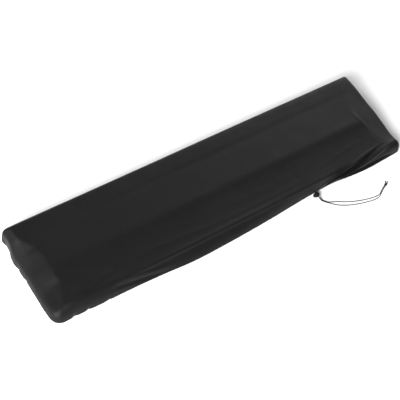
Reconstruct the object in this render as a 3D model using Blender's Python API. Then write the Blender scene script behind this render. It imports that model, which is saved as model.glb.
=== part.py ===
"""A stretch dust cover for a full-size musical keyboard, as it sits on one, with its cord and cord lock.

Metres, +Z up. +X runs along the cover's length, +Y towards its back. The origin lies just under the cloth
of the top, at the middle of the plan, where the covered keyboard carries it. The keyboard itself is not
modelled, so the cover is hollow and open underneath.
"""

from collections import namedtuple

import bmesh
import bpy
import numpy as np

# Driving sizes. Heights are above the surface that the keyboard stands on.
REST_HEIGHT = 0.0758       # that surface to the cloth's underside at the middle of the top
CLOTH_THICKNESS = 0.0015
TOP_HALF_LENGTH = 0.661    # middle of the top to the start of an end wall
TOP_HALF_DEPTH = 0.140     # middle of the top to the start of the front or back wall
WALL_CLOTH = 0.100         # cloth from the top's rim, down the wall and in under the hem
HEM_HEIGHT = 0.007         # lowest line of the hem
END_RIDGE = 0.626          # middle to the ridge where the left end starts to slope
END_SLOPE = 0.42
RIDGE_ROUNDING = 0.008
SLOPE_BACK = 0.125         # the left end's slope starts here and reaches its full steepness further forward
SLOPE_FULL = 0.035
BLOCK_HEIGHT = 0.006       # end blocks of the keyboard, above its keys
BLOCK_START = 0.585
BLOCK_FULL = 0.620
KEYS_BACK = -0.030
KEYS_FRONT = -0.150
KEYS_EASE = 0.030
BACK_CORNER_REACH = 0.22   # how much further than a round corner the cloth reaches over the keyboard's own
RIGHT_CORNER_REACH = 0.16
LEFT_CORNER_REACH = 0.04
CORD_RADIUS = 0.00135

# The top across the middle, front to back
Section = namedtuple("Section", "y height")
TOP_SECTION = [
    Section(-0.140, 0.0565),
    Section(-0.120, 0.0595),
    Section(-0.092, 0.0620),
    Section(-0.070, 0.0645),
    Section(-0.052, 0.0690),
    Section(-0.036, 0.0750),
    Section(-0.015, 0.0772),
    Section(0.040, 0.0790),
    Section(0.080, 0.0797),
    Section(0.095, 0.0788),
    Section(0.112, 0.0814),
    Section(0.130, 0.0839),
    Section(0.140, 0.0845),
]

# A wall from the rim to the edge of the hem: share of the cloth, how far it stands out, share of the height
Wall = namedtuple("Wall", "share out height")
WALL_PROFILE = [
    Wall(0.00, 0.0000, 1.000),
    Wall(0.09, 0.0085, 0.975),
    Wall(0.17, 0.0150, 0.910),
    Wall(0.27, 0.0195, 0.790),
    Wall(0.40, 0.0230, 0.590),
    Wall(0.55, 0.0248, 0.340),
    Wall(0.68, 0.0255, 0.130),
    Wall(0.77, 0.0225, 0.020),
    Wall(0.86, 0.0140, 0.000),
    Wall(0.94, 0.0075, 0.030),
    Wall(1.00, 0.0040, 0.080),
]
WIDEST_SHARE = 0.68
TUCKED_PULL_LOSS = 0.8      # how little of a side's pull is left at the hem's inner edge

# How far the hem is pulled out or in along each side
Pull = namedtuple("Pull", "along out")
FRONT_PULL = [
    Pull(-0.70, 0.0130),
    Pull(-0.62, 0.0110),
    Pull(-0.54, 0.0125),
    Pull(-0.45, 0.0130),
    Pull(-0.33, 0.0170),
    Pull(-0.20, 0.0245),
    Pull(-0.08, 0.0220),
    Pull(0.02, 0.0178),
    Pull(0.12, 0.0120),
    Pull(0.22, 0.0045),
    Pull(0.31, -0.0010),
    Pull(0.38, -0.0030),
    Pull(0.45, 0.0035),
    Pull(0.53, 0.0076),
    Pull(0.60, 0.0050),
    Pull(0.70, 0.0000),
]
LEFT_PULL = [
    Pull(-0.17, 0.0105),
    Pull(-0.12, 0.0108),
    Pull(-0.06, 0.0080),
    Pull(0.00, 0.0050),
    Pull(0.05, 0.0043),
    Pull(0.085, 0.0040),
    Pull(0.115, -0.0070),
    Pull(0.17, -0.0110),
]
BACK_PULL = [Pull(-0.70, 0.004), Pull(-0.25, 0.002), Pull(0.20, 0.006), Pull(0.70, 0.003)]
RIGHT_PULL = [Pull(-0.17, -0.004), Pull(0.00, -0.008), Pull(0.17, -0.008)]
BOW_START = 0.55           # the right end's rim bows out, and the top stretches with it from here
BOW_FULL = 0.67
RIGHT_BOW = [
    Pull(-0.17, 0.0000),
    Pull(-0.12, 0.0000),
    Pull(-0.06, 0.0040),
    Pull(0.00, 0.0068),
    Pull(0.05, 0.0085),
    Pull(0.10, 0.0075),
    Pull(0.17, 0.0040),
]

# Folds, in cloth coordinates: u along the length, v across. Past the rims both go on down the walls.
# Each runs from (u0, v0) to (u1, v1), bowed sideways by bow, and stands up or sinks by height.
FOLD_SWELL = 0.7
Fold = namedtuple("Fold", "u0 v0 u1 v1 bow height half_width")
FOLDS = [
    # Stretched edge over the keyboard's front lip
    Fold(-0.640, -0.150, -0.420, -0.156, 0.004, 0.0022, 0.010),
    Fold(-0.500, -0.153, 0.180, -0.149, -0.006, 0.0026, 0.007),
    # Tension creases at the left of the front wall
    Fold(-0.500, -0.155, -0.290, -0.200, -0.003, 0.0045, 0.006),
    Fold(-0.510, -0.172, -0.320, -0.206, -0.002, -0.0040, 0.007),
    Fold(-0.470, -0.110, -0.060, -0.126, 0.004, 0.0014, 0.009),
    Fold(-0.640, -0.146, -0.490, -0.126, -0.004, 0.0020, 0.010),
    # Pleats that fan out from the right front corner to the cord lock
    Fold(0.570, -0.131, 0.296, -0.206, 0.010, 0.0035, 0.006),
    Fold(0.610, -0.134, 0.365, -0.200, 0.012, -0.0085, 0.0075),
    Fold(0.655, -0.146, 0.392, -0.202, -0.006, 0.0055, 0.007),
    Fold(0.630, -0.186, 0.410, -0.200, 0.004, -0.0050, 0.007),
    # Left end: the ridge of the end block and the dips beside it
    Fold(-0.668, 0.125, -0.622, 0.040, -0.004, 0.0022, 0.010),
    Fold(-0.620, 0.060, -0.616, -0.120, 0.004, 0.0026, 0.010),
    Fold(-0.592, 0.000, -0.598, -0.130, 0.000, -0.0028, 0.012),
    # Right end
    Fold(0.585, 0.020, 0.645, -0.120, -0.004, 0.0026, 0.010),
    Fold(0.572, -0.010, 0.590, -0.060, 0.000, -0.0030, 0.010),
    # Gathers of the drawn hem
    Fold(-0.636, -0.250, -0.628, -0.190, 0.0, -0.0035, 0.007),
    Fold(-0.588, -0.250, -0.580, -0.190, 0.0, -0.0035, 0.007),
    Fold(-0.520, -0.250, -0.510, -0.195, 0.0, -0.0025, 0.007),
    Fold(-0.735, 0.085, -0.700, 0.080, 0.0, -0.0025, 0.006),
    Fold(-0.745, 0.050, -0.705, 0.045, 0.0, -0.0030, 0.006),
    Fold(-0.745, 0.005, -0.715, 0.000, 0.0, -0.0025, 0.006),
]

# Grid lines of the cloth over the top, closer together where the folds are
Span = namedtuple("Span", "start end steps")
LENGTH_SPANS = [
    Span(-TOP_HALF_LENGTH, -0.49, 10),
    Span(-0.49, 0.28, 17),
    Span(0.28, TOP_HALF_LENGTH, 22),
]
DEPTH_SPANS = [Span(-TOP_HALF_DEPTH, -0.02, 10), Span(-0.02, TOP_HALF_DEPTH, 7)]
WALL_STEPS = 9
FRONT_WALL_STEPS = 12

# Cord lock: a barrel with a sprung button in its left end, lying along the hem.
# Both are turned about X, and their profiles are measured from the barrel's mouth, at its left.
LOCK_CENTRE = (0.3050, -0.1728, 0.0090)
BARREL_LENGTH = 0.0135
BARREL_RADIUS = 0.0085
BORE_DEPTH = 0.0100
BORE_RADIUS = 0.0058
BUTTON_RADIUS = 0.0054
BUTTON_SHOWN = 0.0062      # how far it stands out of the barrel
BUTTON_TRAVEL = 0.0040
BUTTON_END = BORE_DEPTH - BUTTON_TRAVEL - 0.0006  # clear of the bore's floor when pressed
Turn = namedtuple("Turn", "x radius")
BARREL_PROFILE = [
    Turn(BORE_DEPTH, 0.0),
    Turn(BORE_DEPTH, BORE_RADIUS),
    Turn(0.0, BORE_RADIUS),
    Turn(0.0, 0.0069),
    Turn(0.0012, 0.0079),
    Turn(0.0040, BARREL_RADIUS),
    Turn(BARREL_LENGTH - 0.0040, BARREL_RADIUS),
    Turn(BARREL_LENGTH - 0.0014, 0.0073),
    Turn(BARREL_LENGTH - 0.0003, 0.0051),
    Turn(BARREL_LENGTH, 0.0033),
    Turn(BARREL_LENGTH, 0.0),
]
BUTTON_PROFILE = [
    Turn(BUTTON_END, 0.0),
    Turn(BUTTON_END, 0.0046),
    Turn(BUTTON_END - 0.0008, BUTTON_RADIUS),
    Turn(0.0016 - BUTTON_SHOWN, BUTTON_RADIUS),
    Turn(0.0005 - BUTTON_SHOWN, 0.0048),
    Turn(-BUTTON_SHOWN, 0.0036),
    Turn(-BUTTON_SHOWN, 0.0026),
    Turn(0.0008 - BUTTON_SHOWN, 0.0018),
    Turn(0.0010 - BUTTON_SHOWN, 0.0),
]
CORD_HOLE_RADIUS = 0.00165
CORD_HOLES = (0.00615, 0.01055)  # middles of the two holes across the barrel, from its mouth

# Routes of the two strands, from the lock to the knot, and of the two tails past it
STRAND_LEFT_ROUTE = [
    (0.3044, -0.1787, 0.0090),
    (0.3044, -0.1842, 0.0089),
    (0.3052, -0.1893, 0.0067),
    (0.3078, -0.1945, 0.0034),
    (0.3117, -0.2000, 0.0017),
    (0.3175, -0.2072, 0.00135),
    (0.3240, -0.2142, 0.00135),
    (0.3330, -0.2243, 0.00135),
    (0.3480, -0.2376, 0.00135),
    (0.3670, -0.2492, 0.00135),
    (0.3970, -0.2622, 0.00135),
    (0.4200, -0.2695, 0.00135),
    (0.4440, -0.2752, 0.00135),
    (0.4620, -0.2788, 0.00135),
    (0.4800, -0.2806, 0.00135),
    (0.4930, -0.2792, 0.00135),
    (0.5040, -0.2744, 0.00135),
    (0.5200, -0.2655, 0.00145),
    (0.5330, -0.2588, 0.0024),
    (0.5424, -0.2548, 0.0038),
]
STRAND_RIGHT_ROUTE = [
    (0.3088, -0.1787, 0.0090),
    (0.3088, -0.1842, 0.0089),
    (0.3093, -0.1890, 0.0067),
    (0.3110, -0.1938, 0.0034),
    (0.3146, -0.1986, 0.0017),
    (0.3200, -0.2052, 0.00135),
    (0.3266, -0.2120, 0.00135),
    (0.3370, -0.2172, 0.00135),
    (0.3550, -0.2262, 0.00135),
    (0.3760, -0.2382, 0.00135),
    (0.4060, -0.2522, 0.00135),
    (0.4400, -0.2632, 0.00135),
    (0.4620, -0.2682, 0.00135),
    (0.4830, -0.2716, 0.00135),
    (0.4940, -0.2724, 0.00135),
    (0.5024, -0.2710, 0.00135),
    (0.5184, -0.2622, 0.00145),
    (0.5315, -0.2555, 0.0024),
    (0.5411, -0.2519, 0.0038),
]
KNOT_CENTRE = (0.5466, -0.2513, 0.0042)
KNOT_LENGTH = 0.0100
KNOT_RADIUS = 0.0038
KNOT_TURN = 0.42           # radians about +Z from +X
KNOT_END_SHARE = 0.78      # radius of its ends, as a share of the middle's
KNOT_RIDGES = 3
KNOT_RIDGE_DEPTH = 0.12
KNOT_RIDGE_TWIST = 6.5     # radians that the ridges wind round it, end to end
TAIL_LEFT_ROUTE = [
    (0.5513, -0.2471, 0.0040),
    (0.5535, -0.2452, 0.0034),
    (0.5556, -0.2420, 0.0024),
    (0.5568, -0.2385, 0.00150),
]
TAIL_RIGHT_ROUTE = [
    (0.5526, -0.2507, 0.0040),
    (0.5563, -0.2493, 0.0034),
    (0.5603, -0.2470, 0.0024),
    (0.5640, -0.2440, 0.00150),
]


def soft_step(t):
    """0 below t = 0, 1 above t = 1, with a smooth S between."""
    t = np.clip(t, 0.0, 1.0)
    return t * t * (3.0 - 2.0 * t)


def curve_through(t, rows):
    """A smooth curve through a table's rows, read at t: cubic pieces that share their slopes."""
    table = np.array(rows, float)
    places, values = table[:, 0], table[:, -1]
    slopes = np.gradient(values, places)
    i = np.clip(np.searchsorted(places, t, side="right") - 1, 0, len(places) - 2)
    step = places[i + 1] - places[i]
    k = np.clip((t - places[i]) / step, 0.0, 1.0)
    rise = 3 * k**2 - 2 * k**3
    return (
        (1 - rise) * values[i]
        + rise * values[i + 1]
        + (k**3 - 2 * k**2 + k) * step * slopes[i]
        + (k**3 - k**2) * step * slopes[i + 1]
    )


def end_relief(x, y):
    """How the top leaves its middle section near the ends: end blocks by the keys, the left end's slope."""
    beyond = np.abs(x) - END_RIDGE
    hinge = (beyond + np.sqrt(beyond**2 + RIDGE_ROUNDING**2)) / 2
    slope = np.where(x < 0, END_SLOPE, 0.0) * soft_step((SLOPE_BACK - y) / (SLOPE_BACK - SLOPE_FULL))
    beside_keys = soft_step((KEYS_BACK - y) / KEYS_EASE) * soft_step((y - KEYS_FRONT) / KEYS_EASE)
    block = BLOCK_HEIGHT * beside_keys * soft_step((np.abs(x) - BLOCK_START) / (BLOCK_FULL - BLOCK_START))
    return block - slope * hinge


def smooth_cover(u, v):
    """The cover without its folds, at cloth coordinates u and v.

    Inside the rims u and v are x and y, and the height is the top's section plus the relief of the ends.
    Past a rim the point follows the wall profile, along the side's outward direction. At a corner that
    direction turns through a right angle, so the corner is round and the hem runs round it unbroken.
    """
    past_u = np.clip((np.abs(u) - TOP_HALF_LENGTH) / WALL_CLOTH, 0, None)
    past_v = np.clip((np.abs(v) - TOP_HALF_DEPTH) / WALL_CLOTH, 0, None)
    share = np.clip(np.maximum(past_u, past_v), 0, 1)
    most = np.maximum(share, 1e-9)
    turn = np.where(past_u >= past_v, np.pi / 4 * past_v / most, np.pi / 2 - np.pi / 4 * past_u / most)
    out_x = np.where(share > 0, np.cos(turn) * np.sign(u), 0.0)
    out_y = np.where(share > 0, np.sin(turn) * np.sign(v), 0.0)
    x = np.clip(u, -TOP_HALF_LENGTH, TOP_HALF_LENGTH)
    y = np.clip(v, -TOP_HALF_DEPTH, TOP_HALF_DEPTH)

    pull = np.where(v < 0, curve_through(x, FRONT_PULL), curve_through(x, BACK_PULL)) * out_y**2
    pull += np.where(u < 0, curve_through(y, LEFT_PULL), curve_through(y, RIGHT_PULL)) * out_x**2
    tucked = soft_step((share - WIDEST_SHARE) / (1 - WIDEST_SHARE))
    pull *= soft_step(share / WIDEST_SHARE) * (1 - TUCKED_PULL_LOSS * tucked)
    out = curve_through(share, [(row.share, row.out) for row in WALL_PROFILE]) + pull
    front_reach = np.where(u < 0, LEFT_CORNER_REACH, RIGHT_CORNER_REACH)
    reach = np.where(v < 0, front_reach, BACK_CORNER_REACH)
    out *= 1 + reach * (2 * out_x * out_y) ** 2

    rim = curve_through(y, TOP_SECTION) + end_relief(x, y)
    height = HEM_HEIGHT + (rim - HEM_HEIGHT) * curve_through(share, WALL_PROFILE)
    bow = curve_through(y, RIGHT_BOW) * soft_step((u - BOW_START) / (BOW_FULL - BOW_START))
    return np.stack([x + bow + out_x * out, y + out_y * out, np.where(share > 0, height, rim)], axis=-1)


def fold_height(u, v, fold):
    """One fold: a bell across its bowed line, swelling from nothing at each end to its height midway."""
    along_u, along_v = fold.u1 - fold.u0, fold.v1 - fold.v0
    length = np.hypot(along_u, along_v)
    along = ((u - fold.u0) * along_u + (v - fold.v0) * along_v) / length**2
    inside = np.clip(along, 0, 1)
    across = ((v - fold.v0) * along_u - (u - fold.u0) * along_v) / length
    across -= fold.bow * 4 * inside * (1 - inside)
    past_end = (along - inside) * length
    swell = np.sin(np.pi * inside) ** FOLD_SWELL
    return fold.height * swell * np.exp(-(across**2 + past_end**2) / fold.half_width**2)


def folded_cover(u, v):
    """The cover with each fold standing out of it, or sinking into it, square to the cloth."""
    point = smooth_cover(u, v)
    tiny = 1e-4
    along_u = smooth_cover(u + tiny, v) - smooth_cover(u - tiny, v)
    along_v = smooth_cover(u, v + tiny) - smooth_cover(u, v - tiny)
    normal = np.cross(along_u, along_v)
    normal /= np.maximum(np.linalg.norm(normal, axis=-1, keepdims=True), 1e-12)
    relief = sum(fold_height(u, v, fold) for fold in FOLDS)
    return point + normal * relief[..., None]


def grid_lines(spans, rim, low_steps, high_steps):
    """Cloth coordinates of the grid lines: down one wall, over the top's spans, and down the other wall."""
    low_wall = -rim - WALL_CLOTH * np.arange(low_steps, 0, -1) / low_steps
    high_wall = rim + WALL_CLOTH * np.arange(1, high_steps + 1) / high_steps
    top = [np.linspace(span.start, span.end, span.steps, endpoint=False) for span in spans]
    return np.concatenate([low_wall, *top, [rim], high_wall])


def material(name, colour, roughness):
    made = bpy.data.materials.new(name)
    made.use_nodes = True
    shader = made.node_tree.nodes["Principled BSDF"]
    shader.inputs["Base Color"].default_value = (*colour, 1.0)
    shader.inputs["Roughness"].default_value = roughness
    shader.inputs["Metallic"].default_value = 0.0
    made.diffuse_color = (*colour, 1.0)
    return made


def place(name, data, finish, parent, location=(0, 0, 0), turn=(0, 0, 0)):
    obj = bpy.data.objects.new(name, data)
    bpy.context.scene.collection.objects.link(obj)
    obj.parent = parent
    obj.location = location
    obj.rotation_euler = turn
    data.materials.append(finish)
    return obj


def shade_round(mesh, sharp_degrees=40):
    mesh.shade_smooth()
    mesh.set_sharp_from_angle(angle=np.radians(sharp_degrees))


def make_cover(finish, parent):
    """The cloth: its outer face as a grid, given its thickness inwards."""
    lines_u = grid_lines(LENGTH_SPANS, TOP_HALF_LENGTH, WALL_STEPS, WALL_STEPS)
    lines_v = grid_lines(DEPTH_SPANS, TOP_HALF_DEPTH, FRONT_WALL_STEPS, WALL_STEPS)
    u, v = np.meshgrid(lines_u, lines_v, indexing="ij")
    points = folded_cover(u, v).reshape(-1, 3)
    index = np.arange(len(points)).reshape(u.shape)
    corners = [index[:-1, :-1], index[1:, :-1], index[1:, 1:], index[:-1, 1:]]
    quads = np.stack(corners, axis=-1).reshape(-1, 4)
    mesh = bpy.data.meshes.new("cover_cloth")
    mesh.from_pydata(points.tolist(), [], quads.tolist())
    mesh.shade_smooth()
    cover = place("cover_cloth", mesh, finish, parent)
    wall = cover.modifiers.new("cloth thickness", "SOLIDIFY")
    wall.thickness = CLOTH_THICKNESS
    wall.offset = -1.0
    wall.use_even_offset = False
    wall.use_rim = True
    return cover


def turned(name, profile, steps=24):
    """A mesh turned about X from its (x, radius) profile, which starts and ends on the axis."""
    shape = bmesh.new()
    line = [shape.verts.new((x, 0, radius)) for x, radius in profile]
    edges = [shape.edges.new(pair) for pair in zip(line, line[1:])]
    bmesh.ops.spin(
        shape,
        geom=line + edges,
        cent=(0, 0, 0),
        axis=(1, 0, 0),
        angle=2 * np.pi,
        steps=steps,
        use_merge=True,
    )
    bmesh.ops.remove_doubles(shape, verts=shape.verts, dist=1e-6)
    bmesh.ops.recalc_face_normals(shape, faces=shape.faces)
    mesh = bpy.data.meshes.new(name)
    shape.to_mesh(mesh)
    shape.free()
    shade_round(mesh)
    return mesh


def mouth_place():
    """The middle of the barrel's mouth, on the axis that the button slides along."""
    x, y, z = LOCK_CENTRE
    return x - BARREL_LENGTH / 2, y, z


def make_barrel(finish, parent):
    """The lock's barrel: bellied, closed at the right, bored from the left, with two cord holes across."""
    mesh = turned("cord_lock_barrel", BARREL_PROFILE)
    barrel = place("cord_lock_barrel", mesh, finish, parent, mouth_place())
    for number, hole_x in enumerate(CORD_HOLES, start=1):
        cutter = make_hole_cutter(f"cord_hole_{number}", hole_x, finish, barrel)
        cut = barrel.modifiers.new(cutter.name, "BOOLEAN")
        cut.operation = "DIFFERENCE"
        cut.object = cutter
    return barrel


def make_hole_cutter(name, hole_x, finish, barrel):
    shape = bmesh.new()
    bmesh.ops.create_cone(
        shape,
        cap_ends=True,
        segments=16,
        radius1=CORD_HOLE_RADIUS,
        radius2=CORD_HOLE_RADIUS,
        depth=4 * BARREL_RADIUS,
    )
    mesh = bpy.data.meshes.new(name)
    shape.to_mesh(mesh)
    shape.free()
    cutter = place(name, mesh, finish, barrel, (hole_x, 0, 0), (np.pi / 2, 0, 0))
    cutter.hide_render = True
    cutter.display_type = "WIRE"
    return cutter


def make_button(finish, parent):
    """The sprung button, with its origin on its sliding axis where it leaves the barrel."""
    mesh = turned("cord_lock_button", BUTTON_PROFILE)
    return place("cord_lock_button", mesh, finish, parent, mouth_place())


def smooth_route(route, spacing):
    """Points about one spacing apart on the smooth curve through a route, by its running length."""
    points = np.array(route, float)
    run = np.concatenate([[0], np.cumsum(np.linalg.norm(np.diff(points, axis=0), axis=1))])
    stops = np.linspace(0, run[-1], int(round(run[-1] / spacing)) + 1)
    return np.stack([curve_through(stops, list(zip(run, points[:, axis]))) for axis in range(3)], axis=-1)


def make_cord(name, route, finish, parent, spacing=2 * 2 * CORD_RADIUS):
    """A round cord along its route."""
    curve = bpy.data.curves.new(name, "CURVE")
    curve.dimensions = "3D"
    curve.bevel_depth = CORD_RADIUS
    curve.bevel_resolution = 2
    curve.use_fill_caps = True
    stops = smooth_route(route, spacing)
    spline = curve.splines.new("POLY")
    spline.points.add(len(stops) - 1)
    spline.points.foreach_set("co", np.column_stack([stops, np.ones(len(stops))]).ravel())
    return place(name, curve, finish, parent)


def make_knot(finish, parent):
    """The overhand knot's outer form: an egg along X, flat where the cords enter, with slanting ridges."""
    sides, rings = 24, 11
    around, along = np.meshgrid(np.arange(sides) * 2 * np.pi / sides, np.linspace(0, 1, rings))
    swell = np.sin(np.pi * along)
    ridge = 1 + KNOT_RIDGE_DEPTH * np.cos(KNOT_RIDGES * around - KNOT_RIDGE_TWIST * along) * swell
    x = KNOT_LENGTH * (along - 0.5)
    radius = KNOT_RADIUS * (KNOT_END_SHARE + (1 - KNOT_END_SHARE) * swell) * ridge
    places = np.stack([x, radius * np.cos(around), radius * np.sin(around)], axis=-1)
    shape = bmesh.new()
    loops = [[shape.verts.new(point) for point in ring] for ring in places]
    for first, second in zip(loops, loops[1:]):
        for k in range(sides):
            shape.faces.new((first[k], first[k - 1], second[k - 1], second[k]))
    shape.faces.new(loops[0])
    shape.faces.new(loops[-1])
    bmesh.ops.recalc_face_normals(shape, faces=shape.faces)
    mesh = bpy.data.meshes.new("cord_knot")
    shape.to_mesh(mesh)
    shape.free()
    shade_round(mesh)
    return place("cord_knot", mesh, finish, parent, KNOT_CENTRE, (0, 0, KNOT_TURN))


def main():
    for obj in list(bpy.data.objects):
        bpy.data.objects.remove(obj, do_unlink=True)

    # Everything is placed by its height above the surface that the keyboard stands on
    surface = bpy.data.objects.new("standing_surface", None)
    surface.location = (0, 0, -REST_HEIGHT)
    bpy.context.scene.collection.objects.link(surface)

    knit = material("black stretch knit", (0.022, 0.022, 0.021), 0.62)
    plastic = material("black moulded plastic", (0.012, 0.012, 0.012), 0.34)
    cord = material("black braided cord", (0.035, 0.035, 0.036), 0.70)

    make_cover(knit, surface)
    make_barrel(plastic, surface)
    make_button(plastic, surface)
    make_cord("draw_cord_left", STRAND_LEFT_ROUTE, cord, surface)
    make_cord("draw_cord_right", STRAND_RIGHT_ROUTE, cord, surface)
    make_knot(cord, surface)
    make_cord("cord_tail_left", TAIL_LEFT_ROUTE, cord, surface)
    make_cord("cord_tail_right", TAIL_RIGHT_ROUTE, cord, surface)


main()
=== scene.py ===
"""Looks of a stretch dust cover for a musical keyboard: the knit cover, its cord lock, cord, knot and tails.

Metres, +Z up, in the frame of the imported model. The tables give heights above the surface that the covered
keyboard stands on, and in_frame takes them into the frame. u and v are cloth coordinates: u along the
length, v across, and past the top's rims both go on down the walls.
"""

from collections import namedtuple

import bpy
import numpy as np
from mathutils import Euler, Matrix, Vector


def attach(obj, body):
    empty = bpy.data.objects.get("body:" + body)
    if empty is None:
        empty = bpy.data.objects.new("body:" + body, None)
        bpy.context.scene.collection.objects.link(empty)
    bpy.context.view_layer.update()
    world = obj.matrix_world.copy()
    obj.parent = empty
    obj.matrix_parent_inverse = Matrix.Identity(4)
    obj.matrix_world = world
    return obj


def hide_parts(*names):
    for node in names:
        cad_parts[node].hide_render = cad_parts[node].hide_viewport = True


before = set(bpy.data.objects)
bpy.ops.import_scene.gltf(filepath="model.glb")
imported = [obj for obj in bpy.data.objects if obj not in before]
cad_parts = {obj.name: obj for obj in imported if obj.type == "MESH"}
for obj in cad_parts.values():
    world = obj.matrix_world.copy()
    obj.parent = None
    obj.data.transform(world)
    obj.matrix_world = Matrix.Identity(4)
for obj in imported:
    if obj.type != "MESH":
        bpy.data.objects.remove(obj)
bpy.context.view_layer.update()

# Camera, where the photograph was taken from
CAMERA_PLACE = (-1.8157, -1.6199, 2.9370)
CAMERA_TURN_DEG = (37.582, -9.281, -35.675)
CAMERA_LENS = 108.0
CAMERA_SENSOR = 36.0
CAMERA_REACH = 60.0

# Soft boxes round the cover: bearing from its front towards its right end, and rise, in degrees
Softbox = namedtuple("Softbox", "bearing rise power")
SOFTBOXES = [
    Softbox(300, 25, 760.0),
    Softbox(300, 35, 380.0),
    Softbox(225, 25, 120.0),
    Softbox(125, 25, 190.0),
    Softbox(90, 25, 50.0),
]
SOFTBOX_DISTANCE = 6.0
SOFTBOX_SIZE = 3.2
WORLD_LIGHT = 0.040
FLOOR_HALF_WIDTH = 9.0

# Cover: its main sizes, and how its ends and corners leave the plain form
REST_HEIGHT = 0.0758             # of the frame's origin above the surface
CLOTH_THICKNESS = 0.0010
TOP_HALF_LENGTH = 0.661
TOP_HALF_DEPTH = 0.140
WALL_CLOTH = 0.100               # cloth from a rim down to the edge of the hem
HEM_HEIGHT = 0.007
LEFT_SLOPE = 0.45
LEFT_ROUNDING = 0.006
RIGHT_SLOPE = 0.20
RIGHT_ROUNDING = 0.006
RIGHT_EASE = 0.022               # width over which the right end leaves the top's section
RIGHT_FADE = (0.150, 0.010)      # y where the right slope starts and where it is full
DENT_REACH = 0.026               # how far inside the left ridge a dent starts
DENT_FADE = 0.035                # and how far outside it the dent ends
BLOCK_HEIGHT = 0.0028            # of the end block that shows beside the keys, at the left
BLOCK_START = 0.550
BLOCK_FULL = 0.645
KEYS_BACK = -0.030
KEYS_FRONT = -0.150
KEYS_EASE = 0.030
BACK_CORNER_REACH = 0.22         # how much further out a corner's wall goes, as a share
RIGHT_CORNER_REACH = 0.16
LEFT_CORNER_REACH = 0.04
WIDEST_SHARE = 0.68              # share of the wall's cloth where it stands out most
TUCKED_PULL_LOSS = 0.8           # share of the hem's pull that is gone at its inner edge
BOW_START = 0.55                 # u where the right end starts to bow outward
BOW_FULL = 0.67                  # and where it bows fully

# The top across the middle, front to back
Section = namedtuple("Section", "y height")
TOP_SECTION = [
    Section(-0.140, 0.0565),
    Section(-0.115, 0.0589),
    Section(-0.090, 0.0623),
    Section(-0.070, 0.0659),
    Section(-0.055, 0.0692),
    Section(-0.044, 0.0725),
    Section(-0.036, 0.0751),
    Section(-0.028, 0.0767),
    Section(-0.014, 0.0774),
    Section(0.000, 0.0777),
    Section(0.040, 0.0794),
    Section(0.080, 0.0807),
    Section(0.090, 0.0808),
    Section(0.102, 0.0825),
    Section(0.112, 0.0830),
    Section(0.130, 0.0840),
    Section(0.140, 0.0845),
]

# The same past the right end's ridge, where the step by the keys fades out
RIGHT_END_SECTION = [
    Section(-0.140, 0.0578),
    Section(-0.100, 0.0625),
    Section(-0.060, 0.0682),
    Section(-0.020, 0.0745),
    Section(0.010, 0.0776),
    Section(0.040, 0.0793),
    Section(0.080, 0.0812),
    Section(0.110, 0.0828),
    Section(0.140, 0.0845),
]

# A wall from the rim to the edge of the hem: share of the cloth, how far it stands out, share of the height
Wall = namedtuple("Wall", "share out height")
WALL_PROFILE = [
    Wall(0.00, 0.0000, 1.000),
    Wall(0.09, 0.0085, 0.975),
    Wall(0.17, 0.0150, 0.910),
    Wall(0.27, 0.0195, 0.790),
    Wall(0.40, 0.0230, 0.590),
    Wall(0.55, 0.0248, 0.340),
    Wall(0.68, 0.0255, 0.130),
    Wall(0.77, 0.0225, 0.020),
    Wall(0.86, 0.0140, 0.000),
    Wall(0.94, 0.0075, 0.030),
    Wall(1.00, 0.0040, 0.080),
]

# The front wall over the middle, where the cloth lies nearly level out to a sharper edge
EDGE_WALL_PROFILE = [
    Wall(0.00, 0.0000, 1.000),
    Wall(0.06, 0.0058, 0.997),
    Wall(0.12, 0.0115, 0.990),
    Wall(0.15, 0.0140, 0.974),
    Wall(0.175, 0.0156, 0.934),
    Wall(0.23, 0.0172, 0.845),
    Wall(0.30, 0.0188, 0.745),
    Wall(0.40, 0.0212, 0.590),
    Wall(0.55, 0.0240, 0.340),
    *WALL_PROFILE[6:],
]
EDGE_FADE_LEFT = (-0.50, -0.36)  # x where the sharper edge starts and where it is full
EDGE_FADE_RIGHT = (0.42, 0.33)

# The left end's wall, which slopes before it drops
LEFT_WALL_PROFILE = [
    Wall(0.00, 0.0000, 1.000),
    Wall(0.10, 0.0090, 0.917),
    Wall(0.20, 0.0179, 0.832),
    Wall(0.27, 0.0240, 0.762),
    Wall(0.33, 0.0277, 0.672),
    Wall(0.40, 0.0294, 0.548),
    Wall(0.50, 0.0303, 0.362),
    Wall(0.60, 0.0305, 0.180),
    Wall(0.68, 0.0296, 0.066),
    Wall(0.77, 0.0248, 0.000),
    Wall(0.86, 0.0162, 0.000),
    Wall(0.94, 0.0085, 0.030),
    Wall(1.00, 0.0045, 0.080),
]

# How far the hem is pulled out or in: by x along the front and the back, by y along the ends
Pull = namedtuple("Pull", "along out")
FRONT_PULL = [
    Pull(-0.70, 0.0130),
    Pull(-0.62, 0.0110),
    Pull(-0.54, 0.0125),
    Pull(-0.45, 0.0130),
    Pull(-0.33, 0.0170),
    Pull(-0.20, 0.0245),
    Pull(-0.08, 0.0220),
    Pull(0.02, 0.0178),
    Pull(0.12, 0.0120),
    Pull(0.22, 0.0045),
    Pull(0.31, -0.0010),
    Pull(0.38, -0.0030),
    Pull(0.45, 0.0035),
    Pull(0.53, 0.0076),
    Pull(0.60, 0.0050),
    Pull(0.70, 0.0000),
]
LEFT_PULL = [
    Pull(-0.17, 0.0055),
    Pull(-0.12, 0.0058),
    Pull(-0.06, 0.0030),
    Pull(0.00, 0.0000),
    Pull(0.05, -0.0007),
    Pull(0.085, -0.0010),
    Pull(0.115, -0.0110),
    Pull(0.17, -0.0150),
]
BACK_PULL = [Pull(-0.70, 0.004), Pull(-0.25, 0.002), Pull(0.20, 0.006), Pull(0.70, 0.003)]
RIGHT_PULL = [Pull(-0.17, -0.004), Pull(0.00, -0.008), Pull(0.17, -0.008)]

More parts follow.
